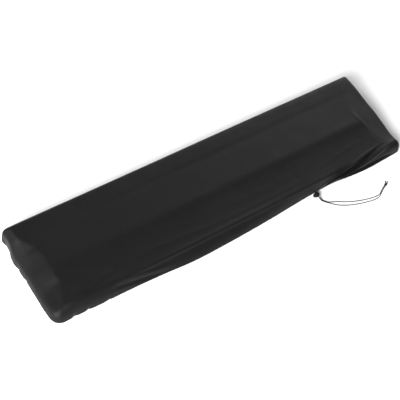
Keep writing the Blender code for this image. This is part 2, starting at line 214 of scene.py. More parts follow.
# How far the right end bows outward, by y
RIGHT_BOW = [
    Pull(-0.17, 0.0000),
    Pull(-0.12, 0.0010),
    Pull(-0.06, 0.0070),
    Pull(0.00, 0.0100),
    Pull(0.05, 0.0085),
    Pull(0.10, 0.0075),
    Pull(0.17, 0.0040),
]

# Ends: the ridge line where each starts to slope, its x counted outward from the middle
Ridge = namedtuple("Ridge", "y x")
LEFT_RIDGE = [
    Ridge(-0.170, 0.664),
    Ridge(-0.140, 0.654),
    Ridge(-0.118, 0.641),
    Ridge(-0.096, 0.630),
    Ridge(-0.050, 0.626),
    Ridge(0.010, 0.622),
    Ridge(0.045, 0.630),
    Ridge(0.076, 0.642),
    Ridge(0.105, 0.660),
    Ridge(0.140, 0.690),
]
RIGHT_RIDGE = [
    Ridge(-0.150, 0.648),
    Ridge(-0.131, 0.622),
    Ridge(-0.101, 0.602),
    Ridge(-0.065, 0.592),
    Ridge(-0.024, 0.589),
    Ridge(0.014, 0.593),
    Ridge(0.084, 0.620),
    Ridge(0.150, 0.650),
]

# Two places at the left where the cloth sinks in from behind the ridge line
Dent = namedtuple("Dent", "y half_width slope")
LEFT_DENTS = [Dent(0.056, 0.012, 0.10), Dent(-0.078, 0.012, 0.10)]

# Main folds in cloth coordinates: from (u0, v0) to (u1, v1), bowed sideways by bow
FOLD_SWELL = 0.7                 # power of the sine by which a fold swells from its ends
Fold = namedtuple("Fold", "u0 v0 u1 v1 bow height half_width")
FOLDS = [
    # Left of the front: its crests, the trough under them, and the broad lit band
    Fold(-0.640, -0.152, -0.430, -0.150, 0.004, 0.0020, 0.012),
    Fold(-0.540, -0.159, 0.170, -0.153, 0.001, 0.0027, 0.0064),
    Fold(-0.500, -0.150, -0.265, -0.188, -0.003, 0.0010, 0.006),
    Fold(-0.500, -0.168, -0.290, -0.200, -0.002, -0.0034, 0.007),
    Fold(-0.470, -0.110, -0.060, -0.126, 0.004, 0.0008, 0.009),
    Fold(-0.650, -0.154, -0.470, -0.110, 0.000, 0.0055, 0.014),
    # Right of the front: the crests by the pleats, and the trough under them
    Fold(0.605, -0.131, 0.296, -0.205, -0.010, 0.0030, 0.0042),
    Fold(0.680, -0.138, 0.388, -0.193, -0.001, 0.0085, 0.0068),
    Fold(0.640, -0.192, 0.400, -0.205, -0.004, -0.0100, 0.0065),
    # The right end's ridge
    Fold(0.586, 0.020, 0.600, -0.080, 0.004, 0.0022, 0.007),
    # Gathers of the hem, at the left of the front and at the left end
    Fold(-0.636, -0.250, -0.628, -0.190, 0.0, -0.0035, 0.007),
    Fold(-0.588, -0.250, -0.580, -0.190, 0.0, -0.0035, 0.007),
    Fold(-0.520, -0.250, -0.510, -0.195, 0.0, -0.0025, 0.007),
    Fold(-0.735, 0.085, -0.700, 0.080, 0.0, -0.0025, 0.006),
    Fold(-0.745, 0.050, -0.705, 0.045, 0.0, -0.0030, 0.006),
    Fold(-0.745, 0.005, -0.715, 0.000, 0.0, -0.0025, 0.006),
]

# Deep pleats at the right of the front, where the drawn hem tucks the cloth back under the top's edge
TUCK_DIRECTION = (0.0, 0.93, -0.36)  # back and down
Tuck = namedtuple("Tuck", "u0 v0 u1 v1 bow depth half_width")
TUCKS = [
    Tuck(0.632, -0.139, 0.372, -0.192, -0.001, 0.027, 0.0078),
    Tuck(0.470, -0.164, 0.345, -0.200, -0.002, 0.010, 0.0060),
]
TUCK_END_WIDTH = 0.3             # share of a pleat's width that is left at its ends

# Finer creases that lie between and on the main folds
CREASES = [
    # Stretched line along the crest by the right pleats
    Fold(0.632, -0.148, 0.400, -0.193, -0.003, 0.0014, 0.0030),
    # Second line beside the left crest that runs down to the hem
    Fold(-0.470, -0.154, -0.290, -0.183, -0.003, 0.0006, 0.0035),
    # Soft tension lines over the keys and the back
    Fold(-0.360, -0.108, 0.330, -0.122, -0.014, 0.0004, 0.0060),
    Fold(-0.200, -0.085, 0.330, -0.096, -0.004, 0.0005, 0.0090),
    Fold(-0.200, 0.086, 0.240, 0.084, 0.000, -0.0008, 0.0110),
    Fold(0.360, -0.112, 0.560, -0.092, 0.004, 0.0008, 0.0070),
]

# Hem: its gathers by the corners, and the channel that its elastic runs in
Gather = namedtuple("Gather", "distance height")
GATHERS = [
    Gather(0.00, 0.0004),
    Gather(0.25, 0.0006),
    Gather(0.45, 0.0018),
    Gather(0.62, 0.0034),
    Gather(0.80, 0.0034),
    Gather(1.00, 0.0034),
    Gather(1.20, 0.0022),
    Gather(1.45, 0.0010),
    Gather(1.80, 0.0006),
]
GATHER_LENGTH = 0.026
GATHER_DRIFT = (0.34, 0.19)      # how unevenly the gathers are spaced, over long and short stretches
GATHER_DRIFT_LENGTH = (0.310, 0.117)
GATHER_PHASES = (1.0, 2.3)       # of that unevenness, on the left half and on the right half
GATHER_START = 0.66              # share of the wall's cloth where they begin
CORNER_RADIUS = 0.060            # of the cloth's path round a corner, for counting gathers
CHANNEL_SHARE = 0.955
CHANNEL_HALF_WIDTH = 0.035
CHANNEL_HEIGHT = 0.0012

# Grid lines of the cloth over the top, closer together where the folds are
Span = namedtuple("Span", "start end steps")
LENGTH_SPANS = [
    Span(-TOP_HALF_LENGTH, -0.49, 40),
    Span(-0.49, 0.28, 104),
    Span(0.28, TOP_HALF_LENGTH, 126),
]
DEPTH_SPANS = [Span(-TOP_HALF_DEPTH, -0.12, 14), Span(-0.12, -0.02, 26), Span(-0.02, TOP_HALF_DEPTH, 24)]
WALL_SPANS = [Span(0.0, 1.0, 25)]                          # shares of the wall's cloth
FRONT_WALL_SPANS = [Span(0.0, 0.58, 50), Span(0.58, 1.0, 14)]

# Cord lock
LOCK_CENTRE = (0.3050, -0.1728, 0.0090)
BARREL_LENGTH = 0.0135
BARREL_RADIUS = 0.0085
BORE_DEPTH = 0.0100
BORE_RADIUS = 0.0058
BUTTON_RADIUS = 0.0054
BUTTON_SHOWN = 0.0062
BUTTON_TRAVEL = 0.0040
BUTTON_CLEARANCE = 0.0006
BUTTON_END = BORE_DEPTH - BUTTON_TRAVEL - BUTTON_CLEARANCE
CORD_HOLE_RADIUS = 0.00165
CORD_HOLES = (0.00615, 0.01055)  # their x from the barrel's mouth
CORD_HOLE_SIDES = 32
LOCK_SIDES = 96
CORNER_ROUNDING = 0.0004
CORNER_SHARE = 0.45              # most of an edge that one rounding takes
SHARP_ANGLE_DEG = 35
PARTING_RIDGE = 0.00005          # the mould's parting line, along both sides of the barrel
PARTING_WIDTH = 0.03             # radians

# Turned profiles of the lock, x from the barrel's mouth
Turn = namedtuple("Turn", "x radius")
BARREL_PROFILE = [
    Turn(BORE_DEPTH, 0.0010),
    Turn(BORE_DEPTH, BORE_RADIUS),
    Turn(0.0, BORE_RADIUS),
    Turn(0.0, 0.0069),
    Turn(0.0012, 0.0079),
    Turn(0.0040, BARREL_RADIUS),
    Turn(BARREL_LENGTH - 0.0040, BARREL_RADIUS),
    Turn(BARREL_LENGTH - 0.0014, 0.0073),
    Turn(BARREL_LENGTH - 0.0003, 0.0051),
    Turn(BARREL_LENGTH, 0.0033),
    Turn(BARREL_LENGTH, 0.0010),
]
BUTTON_PROFILE = [
    Turn(BUTTON_END, 0.0010),
    Turn(BUTTON_END, 0.0046),
    Turn(BUTTON_END - 0.0008, BUTTON_RADIUS),
    Turn(0.0016 - BUTTON_SHOWN, BUTTON_RADIUS),
    Turn(0.0005 - BUTTON_SHOWN, 0.0048),
    Turn(-BUTTON_SHOWN, 0.0036),
    Turn(-BUTTON_SHOWN, 0.0026),
    Turn(0.0008 - BUTTON_SHOWN, 0.0018),
    Turn(0.0010 - BUTTON_SHOWN, 0.0008),
]

# Draw cord: routes of the two strands, from the lock to the knot, and of the two tails past it
CORD_DIAMETER = 0.0027
STRAND_LEFT_ROUTE = [
    (0.3044, -0.1787, 0.0090),
    (0.3044, -0.1842, 0.0089),
    (0.3052, -0.1893, 0.0067),
    (0.3078, -0.1945, 0.0034),
    (0.3117, -0.2000, 0.0017),
    (0.3175, -0.2072, 0.00135),
    (0.3240, -0.2142, 0.00135),
    (0.3330, -0.2243, 0.00135),
    (0.3480, -0.2376, 0.00135),
    (0.3670, -0.2492, 0.00135),
    (0.3970, -0.2622, 0.00135),
    (0.4200, -0.2695, 0.00135),
    (0.4440, -0.2752, 0.00135),
    (0.4620, -0.2788, 0.00135),
    (0.4800, -0.2806, 0.00135),
    (0.4930, -0.2792, 0.00135),
    (0.5040, -0.2744, 0.00135),
    (0.5200, -0.2655, 0.00145),
    (0.5330, -0.2588, 0.0024),
    (0.5424, -0.2548, 0.0038),
]
STRAND_RIGHT_ROUTE = [
    (0.3088, -0.1787, 0.0090),
    (0.3088, -0.1842, 0.0089),
    (0.3093, -0.1890, 0.0067),
    (0.3110, -0.1938, 0.0034),
    (0.3146, -0.1986, 0.0017),
    (0.3200, -0.2052, 0.00135),
    (0.3266, -0.2120, 0.00135),
    (0.3370, -0.2172, 0.00135),
    (0.3550, -0.2262, 0.00135),
    (0.3760, -0.2382, 0.00135),
    (0.4060, -0.2522, 0.00135),
    (0.4400, -0.2632, 0.00135),
    (0.4620, -0.2682, 0.00135),
    (0.4830, -0.2716, 0.00135),
    (0.4940, -0.2724, 0.00135),
    (0.5024, -0.2710, 0.00135),
    (0.5184, -0.2622, 0.00145),
    (0.5315, -0.2555, 0.0024),
    (0.5411, -0.2519, 0.0038),
]
TAIL_LEFT_ROUTE = [
    (0.5513, -0.2471, 0.0040),
    (0.5535, -0.2452, 0.0034),
    (0.5556, -0.2420, 0.0024),
    (0.5568, -0.2385, 0.00150),
]
TAIL_RIGHT_ROUTE = [
    (0.5526, -0.2507, 0.0040),
    (0.5563, -0.2493, 0.0034),
    (0.5603, -0.2470, 0.0024),
    (0.5640, -0.2440, 0.00150),
]
CORD_SIDES = 30
RING_SPACING = 0.0004
BRAID_STRANDS = 6                # that run each way round
BRAID_PITCH = 0.0031             # cord length in which the braid repeats
BRAID_RELIEF = 0.055             # share of the radius
FINE_STRANDS = 36                # of the yarn in the braid, and the length in which it repeats
FINE_PITCH = 0.0006

# Knot, turned about +Z from +X: two cores, with each strand wound round them
KNOT_CENTRE = (0.5466, -0.2513, 0.0048)
KNOT_TURN = 0.42
KNOT_LENGTH = 0.0116
KNOT_CORE_OFFSET = 0.0009
KNOT_WRAP_RADIUS = 0.0032
KNOT_WRAP_LENGTH = 0.0075
KNOT_WRAP_TURNS = 1.30
KNOT_WRAP_SWELL = 0.18           # share of a wrap over which it swells, at each end
KNOT_CORE_STEPS = 24
KNOT_WRAP_STEPS = 90
KNOT_SIDES = 20

# Free ends: they open a little towards the tip, and fine fibres fan out of it
TAIL_START_SIZE = 0.92           # share of the cord's radius
TAIL_OPENING = 0.16              # what the tip gains, as a share of that radius
TAIL_OPENING_START = 0.6         # share of the tail where it starts to open
FRAY_FIBRES = 44
FRAY_RADIUS = 0.00008
FRAY_LENGTH = 0.0032
FRAY_SHORTEST = 0.6              # share of the full length that the shortest fibre may have
FRAY_SPREAD = 0.42
FRAY_BEND = 1.5                  # power of the share along a fibre by which it turns outward
FRAY_ROOT = 0.0006               # how far inside the tip the fibres start
FRAY_ROOT_SPREAD = 0.8           # share of the cord's radius that their roots fill
FRAY_TAPER = 0.6
FRAY_STEPS = 7
FRAY_SIDES = 5


def soft_step(t):
    """0 below t = 0, 1 above t = 1, with a smooth S between."""
    t = np.clip(t, 0.0, 1.0)
    return t * t * (3.0 - 2.0 * t)


def curve_through(t, rows):
    """A smooth curve through a table's rows, read at t: cubic pieces that share their slopes."""
    table = np.array(rows, float)
    places, values = table[:, 0], table[:, -1]
    slopes = np.gradient(values, places)
    i = np.clip(np.searchsorted(places, t, side="right") - 1, 0, len(places) - 2)
    step = places[i + 1] - places[i]
    k = np.clip((t - places[i]) / step, 0.0, 1.0)
    rise = 3 * k**2 - 2 * k**3
    return (
        (1 - rise) * values[i]
        + rise * values[i + 1]
        + (k**3 - 2 * k**2 + k) * step * slopes[i]
        + (k**3 - k**2) * step * slopes[i + 1]
    )


def in_frame(points):
    """Points with heights above the standing surface, moved into the model's frame."""
    return np.asarray(points, float) - np.array([0.0, 0.0, REST_HEIGHT])


def new_piece(name, points, faces, material, uv=None):
    """An object at the origin from points, faces (vertex numbers) and, if given, a UV pair for each point."""
    mesh = bpy.data.meshes.new(name)
    mesh.from_pydata(np.asarray(points).reshape(-1, 3).tolist(), [], faces)
    mesh.shade_smooth()
    mesh.materials.append(material)
    if uv is not None:
        corners = np.zeros(len(mesh.loops), np.int32)
        mesh.loops.foreach_get("vertex_index", corners)
        layer = mesh.uv_layers.new(name="cloth")
        layer.data.foreach_set("uv", np.asarray(uv, np.float32)[corners].ravel())
    piece = bpy.data.objects.new(name, mesh)
    bpy.context.scene.collection.objects.link(piece)
    return piece


def grid_faces(rows, columns, first=0):
    """Quads of a grid of points numbered row by row from first."""
    index = first + np.arange(rows * columns).reshape(rows, columns)
    corners = [index[:-1, :-1], index[1:, :-1], index[1:, 1:], index[:-1, 1:]]
    return np.stack(corners, axis=-1).reshape(-1, 4).tolist()


def tube_faces(rings, sides, first=0):
    """Quads between rings of points, each ring closed on itself, with a flat cap on both ends."""
    index = first + np.arange(rings * sides).reshape(rings, sides)
    turned = np.roll(index, -1, axis=1)
    corners = [index[:-1], turned[:-1], turned[1:], index[1:]]
    quads = np.stack(corners, axis=-1).reshape(-1, 4).tolist()
    return quads + [index[0, ::-1].tolist(), index[-1].tolist()]


def hinge(beyond, rounding):
    """A bend from level to rising: 0 well before it, the distance past it well after, and round between."""
    return (beyond + np.sqrt(beyond**2 + rounding**2)) / 2


def left_fall(x, y):
    """How far the left end has fallen: a slope past its ridge line, which starts sooner at the dents."""
    beyond = -x - curve_through(y, LEFT_RIDGE)
    early = hinge(beyond + DENT_REACH, LEFT_ROUNDING) - hinge(beyond, LEFT_ROUNDING)
    early *= 1 - soft_step(beyond / DENT_FADE)
    sunk = sum(dent.slope * np.exp(-(((y - dent.y) / dent.half_width) ** 2)) for dent in LEFT_DENTS)
    return LEFT_SLOPE * hinge(beyond, LEFT_ROUNDING) + sunk * early


def right_fall(x, y):
    """How far the right end has fallen: a slight slope past its ridge line, which fades towards the back."""
    return RIGHT_SLOPE * fade_in(y, RIGHT_FADE) * hinge(x - curve_through(y, RIGHT_RIDGE), RIGHT_ROUNDING)


def top_section(x, y):
    """The top's height along its section, which gives way to a plainer one past the right end's ridge."""
    middle = curve_through(y, TOP_SECTION)
    past_ridge = soft_step((x - curve_through(y, RIGHT_RIDGE)) / RIGHT_EASE)
    return middle + past_ridge * (curve_through(y, RIGHT_END_SECTION) - middle)


def end_relief(x, y):
    """How the top leaves its section near the ends: the left end block by the keys, and both ends' slopes."""
    beside_keys = soft_step((KEYS_BACK - y) / KEYS_EASE) * soft_step((y - KEYS_FRONT) / KEYS_EASE)
    block = BLOCK_HEIGHT * beside_keys * soft_step((-x - BLOCK_START) / (BLOCK_FULL - BLOCK_START))
    return block - np.where(x < 0, left_fall(x, y), right_fall(x, y))


def round_the_rim(u, v):
    """Where cloth coordinates lie past the rims: share of the wall's cloth, and the outward direction."""
    past_u = np.clip((np.abs(u) - TOP_HALF_LENGTH) / WALL_CLOTH, 0, None)
    past_v = np.clip((np.abs(v) - TOP_HALF_DEPTH) / WALL_CLOTH, 0, None)
    share = np.clip(np.maximum(past_u, past_v), 0, 1)
    most = np.maximum(share, 1e-9)
    turn = np.where(past_u >= past_v, np.pi / 4 * past_v / most, np.pi / 2 - np.pi / 4 * past_u / most)
    return share, turn


def fade_in(x, ends):
    """0 at and before the first of two places, 1 at and past the second, soft between."""
    start, full = ends
    return soft_step((x - start) / (full - start))


def wall_curves(share, profile):
    """A wall profile's outward distance and its share of the height, at shares of the wall's cloth."""
    out = curve_through(share, [(row.share, row.out) for row in profile])
    height = curve_through(share, [(row.share, row.height) for row in profile])
    return out, height


def smooth_cover(u, v):
    """The cover without its folds, at cloth coordinates u and v.

    Inside the rims u and v are x and y, and the height is the top's section plus the relief of the ends.
    Past a rim the point follows the wall profile, along the side's outward direction. At a corner that
    direction turns through a right angle, so the corner is round and the hem runs round it unbroken.
    """
    share, turn = round_the_rim(u, v)
    out_x = np.where(share > 0, np.cos(turn) * np.sign(u), 0.0)
    out_y = np.where(share > 0, np.sin(turn) * np.sign(v), 0.0)
    x = np.clip(u, -TOP_HALF_LENGTH, TOP_HALF_LENGTH)
    y = np.clip(v, -TOP_HALF_DEPTH, TOP_HALF_DEPTH)

    pull = np.where(v < 0, curve_through(x, FRONT_PULL), curve_through(x, BACK_PULL)) * out_y**2
    pull += np.where(u < 0, curve_through(y, LEFT_PULL), curve_through(y, RIGHT_PULL)) * out_x**2
    tucked = soft_step((share - WIDEST_SHARE) / (1 - WIDEST_SHARE))
    pull *= soft_step(share / WIDEST_SHARE) * (1 - TUCKED_PULL_LOSS * tucked)
    left = np.where(u < 0, out_x**2, 0.0)
    edge = np.where(v < 0, out_y**2, 0.0) * fade_in(x, EDGE_FADE_LEFT) * fade_in(x, EDGE_FADE_RIGHT)
    out_plain, fall_plain = wall_curves(share, WALL_PROFILE)
    out_left, fall_left = wall_curves(share, LEFT_WALL_PROFILE)
    out_edge, fall_edge = wall_curves(share, EDGE_WALL_PROFILE)
    out = out_plain + left * (out_left - out_plain) + edge * (out_edge - out_plain) + pull
    front_reach = np.where(u < 0, LEFT_CORNER_REACH, RIGHT_CORNER_REACH)
    reach = np.where(v < 0, front_reach, BACK_CORNER_REACH)
    out *= 1 + reach * (2 * out_x * out_y) ** 2

    rim = top_section(x, y) + end_relief(x, y)
    height_share = fall_plain + left * (fall_left - fall_plain) + edge * (fall_edge - fall_plain)
    height = HEM_HEIGHT + (rim - HEM_HEIGHT) * height_share
    bow = curve_through(y, RIGHT_BOW) * soft_step((u - BOW_START) / (BOW_FULL - BOW_START))
    return np.stack([x + bow + out_x * out, y + out_y * out, np.where(share > 0, height, rim)], axis=-1)


def beside_line(u, v, line):
    """Where cloth coordinates lie by a bowed line: share along it, distance across it and past its end."""
    along_u, along_v = line.u1 - line.u0, line.v1 - line.v0
    length = np.hypot(along_u, along_v)
    along = ((u - line.u0) * along_u + (v - line.v0) * along_v) / length**2
    inside = np.clip(along, 0, 1)
    across = ((v - line.v0) * along_u - (u - line.u0) * along_v) / length
    across -= line.bow * 4 * inside * (1 - inside)
    return inside, across, (along - inside) * length


def fold_height(u, v, fold):
    """One fold: a bell across its bowed line, swelling from nothing at each end to its height midway."""
    inside, across, past_end = beside_line(u, v, fold)
    swell = np.sin(np.pi * inside) ** FOLD_SWELL
    return fold.height * swell * np.exp(-(across**2 + past_end**2) / fold.half_width**2)


def tuck_depth(u, v, tuck):
    """One deep pleat: a flat-bottomed, steep-sided trough that narrows to both ends of its bowed line."""
    inside, across, past_end = beside_line(u, v, tuck)
    swell = np.sin(np.pi * inside) ** FOLD_SWELL
    half_width = tuck.half_width * (TUCK_END_WIDTH + (1 - TUCK_END_WIDTH) * swell)
    return tuck.depth * swell * np.exp(-(((across**2 + past_end**2) / half_width**2) ** 2))


def hem_relief(u, v):
    """The drawn hem: uneven waves round it that grow towards its inner edge, and the channel's round bulge.

    The waves are counted by the distance round the hem from the middle of the front, the same both ways,
    and that count drifts by two slow waves so that no two gathers are alike.
    """
    share, turn = round_the_rim(u, v)
    x = np.clip(np.abs(u), 0, TOP_HALF_LENGTH)
    y = np.clip(v, -TOP_HALF_DEPTH, TOP_HALF_DEPTH)
    at_front = v < 0
    round_corner = CORNER_RADIUS * np.where(at_front, np.pi / 2 - turn, np.pi / 2 + turn)
    distance = x * np.where(at_front, 1, -1) + np.where(at_front, 0, 2 * TOP_HALF_LENGTH)
    at_end = np.abs(u) > TOP_HALF_LENGTH
    across = np.where(at_end, y + TOP_HALF_DEPTH, np.where(at_front, 0, 2 * TOP_HALF_DEPTH))
    distance = distance + across + round_corner
    phase = np.where(u < 0, *GATHER_PHASES)
    count = distance / GATHER_LENGTH
    for drift, length in zip(GATHER_DRIFT, GATHER_DRIFT_LENGTH):
        wave = np.sin(2 * np.pi * distance / length + phase)
        count = count + drift * length / GATHER_LENGTH * wave / (2 * np.pi)
    depth = curve_through(distance, GATHERS) * soft_step((share - GATHER_START) / (1 - GATHER_START))
    channel = CHANNEL_HEIGHT * np.exp(-(((share - CHANNEL_SHARE) / CHANNEL_HALF_WIDTH) ** 2))
    return depth * np.sin(2 * np.pi * count) + channel


def folded_cover(u, v):
    """The cover with folds, creases and hem relief, each square to the cloth, and its pleats tucked back."""
    point = smooth_cover(u, v)
    tiny = 1e-4
    along_u = smooth_cover(u + tiny, v) - smooth_cover(u - tiny, v)
    along_v = smooth_cover(u, v + tiny) - smooth_cover(u, v - tiny)
    normal = np.cross(along_u, along_v)
    normal /= np.maximum(np.linalg.norm(normal, axis=-1, keepdims=True), 1e-12)
    relief = sum(fold_height(u, v, fold) for fold in FOLDS + CREASES) + hem_relief(u, v)
    tucked = sum(tuck_depth(u, v, tuck) for tuck in TUCKS)
    return point + normal * relief[..., None] + np.array(TUCK_DIRECTION) * tucked[..., None]


def span_lines(spans):
    """The grid lines of consecutive spans, the last span's end included."""
    lines = [np.linspace(span.start, span.end, span.steps, endpoint=False) for span in spans]
    return np.concatenate([*lines, [spans[-1].end]])


def grid_lines(spans, rim, low_wall, high_wall):
    """Cloth coordinates of the grid lines: down one wall, over the top's spans, and down the other wall."""
    low = -rim - WALL_CLOTH * span_lines(low_wall)[:0:-1]
    high = rim + WALL_CLOTH * span_lines(high_wall)[1:]
    return np.concatenate([low, span_lines(spans), high])


def make_cover(material):
    """The cloth: its outer face as a fine grid of folded_cover, given the cloth's thickness inwards."""
    lines_u = grid_lines(LENGTH_SPANS, TOP_HALF_LENGTH, WALL_SPANS, WALL_SPANS)
    lines_v = grid_lines(DEPTH_SPANS, TOP_HALF_DEPTH, FRONT_WALL_SPANS, WALL_SPANS)
    u, v = np.meshgrid(lines_u, lines_v, indexing="ij")
    points = in_frame(folded_cover(u, v))
    uv = np.stack([u.ravel(), v.ravel()], axis=-1)
    cover = new_piece("knit_cover", points, grid_faces(*u.shape), material, uv)
    cloth = cover.modifiers.new("cloth thickness", "SOLIDIFY")
    cloth.thickness = CLOTH_THICKNESS
    cloth.offset = -1.0
    cloth.use_rim = True
    return cover


def rounded(profile):
    """A profile with each inner corner replaced by three points on a short parabola inside it."""
    points = np.array(profile, float)
    before = points[:-2] - points[1:-1]
    after = points[2:] - points[1:-1]
    reach_before = np.minimum(CORNER_ROUNDING / np.linalg.norm(before, axis=1), CORNER_SHARE)[:, None]
    reach_after = np.minimum(CORNER_ROUNDING / np.linalg.norm(after, axis=1), CORNER_SHARE)[:, None]
    start = points[1:-1] + before * reach_before
    end = points[1:-1] + after * reach_after
    middle = (start + 2 * points[1:-1] + end) / 4
    corners = np.stack([start, middle, end], axis=1).reshape(-1, 2)
    return np.concatenate([points[:1], corners, points[-1:]])


def turned_rings(profile, ridge=0.0):
    """Rings about the lock's axis: each profile point swept round it, with a thin ridge on two sides."""
    outline = rounded(profile)
    angle = np.linspace(0, 2 * np.pi, LOCK_SIDES, endpoint=False)
    off_line = np.sin(angle) / PARTING_WIDTH
    radius = outline[:, 1:] + ridge * np.exp(-(off_line**2))
    x = np.repeat(outline[:, :1], LOCK_SIDES, axis=1)
    rings = np.stack([x, radius * np.cos(angle), radius * np.sin(angle)], axis=-1)
    mouth = np.array(LOCK_CENTRE) - np.array([BARREL_LENGTH / 2, 0, 0])
    return in_frame(rings + mouth)


def make_turned(name, profile, material, ridge=0.0):
    """A piece turned about the lock's axis from a profile, closed at both ends."""
    rings = turned_rings(profile, ridge)
    faces = [face[::-1] for face in tube_faces(*rings.shape[:2])]
    return new_piece(name, rings, faces, material)


def cut_cord_holes(barrel):
    """Drills the two cord holes across the barrel, and keeps the result as its mesh."""
    cutters = []
    angle = np.linspace(0, 2 * np.pi, CORD_HOLE_SIDES, endpoint=False)
    x, y, z = LOCK_CENTRE
    for hole in CORD_HOLES:
        centre = x - BARREL_LENGTH / 2 + hole
        circle_x = centre + CORD_HOLE_RADIUS * np.cos(angle)
        circle_z = z + CORD_HOLE_RADIUS * np.sin(angle)
        circle = np.stack([circle_x, 0 * angle + y, circle_z], axis=-1)
        reach = np.array([0, 2 * BARREL_RADIUS, 0])
        ends = in_frame(np.stack([circle + reach, circle - reach]))
        faces = [face[::-1] for face in tube_faces(2, len(angle))]
        cutter = new_piece("cord_hole", ends, faces, barrel.data.materials[0])
        cut = barrel.modifiers.new("cord hole", "BOOLEAN")
        cut.operation = "DIFFERENCE"
        cut.object = cutter
        cutters.append(cutter)
    bpy.context.view_layer.update()
    finished = barrel.evaluated_get(bpy.context.evaluated_depsgraph_get())
    drilled = bpy.data.meshes.new_from_object(finished)
    barrel.modifiers.clear()
    barrel.data = drilled
    drilled.set_sharp_from_angle(angle=np.radians(SHARP_ANGLE_DEG))
    for cutter in cutters:
        bpy.data.objects.remove(cutter)


def smooth_route(route, spacing):
    """Points about one spacing apart on the smooth curve through a route, by its running length."""
    points = np.array(route, float)
    run = np.concatenate([[0], np.cumsum(np.linalg.norm(np.diff(points, axis=0), axis=1))])
    stops = np.linspace(0, run[-1], int(round(run[-1] / spacing)) + 1)
    return np.stack([curve_through(stops, list(zip(run, points[:, axis]))) for axis in range(3)], axis=-1)


def tube_rings(path, beside, radius, sides=CORD_SIDES, relief=0.0):
    """Braided rings along a path.

    Each ring is a circle across the path, with beside as its first direction. Its radius has two sets of
    cosine ridges, one winding each way, so the raised places make the diamonds of a round braid.
    """
    ahead = np.gradient(path, axis=0)
    ahead /= np.linalg.norm(ahead, axis=1, keepdims=True)
    across = beside - (beside * ahead).sum(axis=1, keepdims=True) * ahead
    across /= np.linalg.norm(across, axis=1, keepdims=True)
    upright = np.cross(ahead, across)
    run = np.concatenate([[0], np.cumsum(np.linalg.norm(np.diff(path, axis=0), axis=1))])[:, None]
    angle = np.linspace(0, 2 * np.pi, sides, endpoint=False)[None, :]
    wind = 2 * np.pi * run / BRAID_PITCH
    braid = (np.cos(BRAID_STRANDS * angle + wind) + np.cos(BRAID_STRANDS * angle - wind)) / 2
    size = (np.broadcast_to(radius, len(path))[:, None] * (1 + relief * braid))[..., None]
    circle = np.cos(angle)[..., None] * across[:, None] + np.sin(angle)[..., None] * upright[:, None]
    rings = path[:, None] + size * circle
    uv = np.stack(np.broadcast_arrays(angle / (2 * np.pi), run), axis=-1)
    return rings, uv.reshape(-1, 2)


def make_strand(name, route, material):
    """One strand of the draw cord, as a braided tube along its route."""
    path = in_frame(smooth_route(route, RING_SPACING))
    up = np.array([0.0, 0.0, 1.0])
    side = np.cross(np.gradient(path, axis=0), up)
    rings, uv = tube_rings(path, side, CORD_DIAMETER / 2, relief=BRAID_RELIEF)
    strand = new_piece(name, rings, tube_faces(*rings.shape[:2]), material, uv)
    return strand


def make_knot(material):
    """The overhand knot: two straight cores along its length and, round them, one wrap of each strand.

    A wrap is a helix whose radius swells from the core's to its full size and back, half a turn apart.
    """
    x_core = np.linspace(-KNOT_LENGTH / 2, KNOT_LENGTH / 2, KNOT_CORE_STEPS)
    t = np.linspace(0, 1, KNOT_WRAP_STEPS)
    swell = soft_step(t / KNOT_WRAP_SWELL) * soft_step((1 - t) / KNOT_WRAP_SWELL)
    winding = KNOT_CORE_OFFSET + (KNOT_WRAP_RADIUS - KNOT_CORE_OFFSET) * swell
    points, faces, uvs = [], [], []
    for side in (0, 1):
        sign = 1 - 2 * side
        core = np.stack([x_core, 0 * x_core + sign * KNOT_CORE_OFFSET, 0 * x_core], axis=-1)
        angle = 2 * np.pi * KNOT_WRAP_TURNS * t + side * np.pi
        outward = np.stack([0 * t, np.cos(angle), np.sin(angle)], axis=-1)
        wrap = winding[:, None] * outward
        wrap[:, 0] = KNOT_WRAP_LENGTH * (t - 0.5)
        flat = np.tile([0.0, 0.0, 1.0], (len(core), 1))
        for path, beside in ((core, flat), (wrap, outward)):
            rings, uv = tube_rings(path, beside, CORD_DIAMETER / 2, KNOT_SIDES, BRAID_RELIEF)
            faces += tube_faces(*rings.shape[:2], first=sum(len(p) for p in points))
            points.append(rings.reshape(-1, 3))
            uvs.append(uv)
    cos, sin = np.cos(KNOT_TURN), np.sin(KNOT_TURN)
    turn = np.array([[cos, sin, 0], [-sin, cos, 0], [0, 0, 1]])
    placed = in_frame(np.concatenate(points) @ turn + np.array(KNOT_CENTRE))
    return new_piece("overhand_knot", placed, faces, material, np.concatenate(uvs))


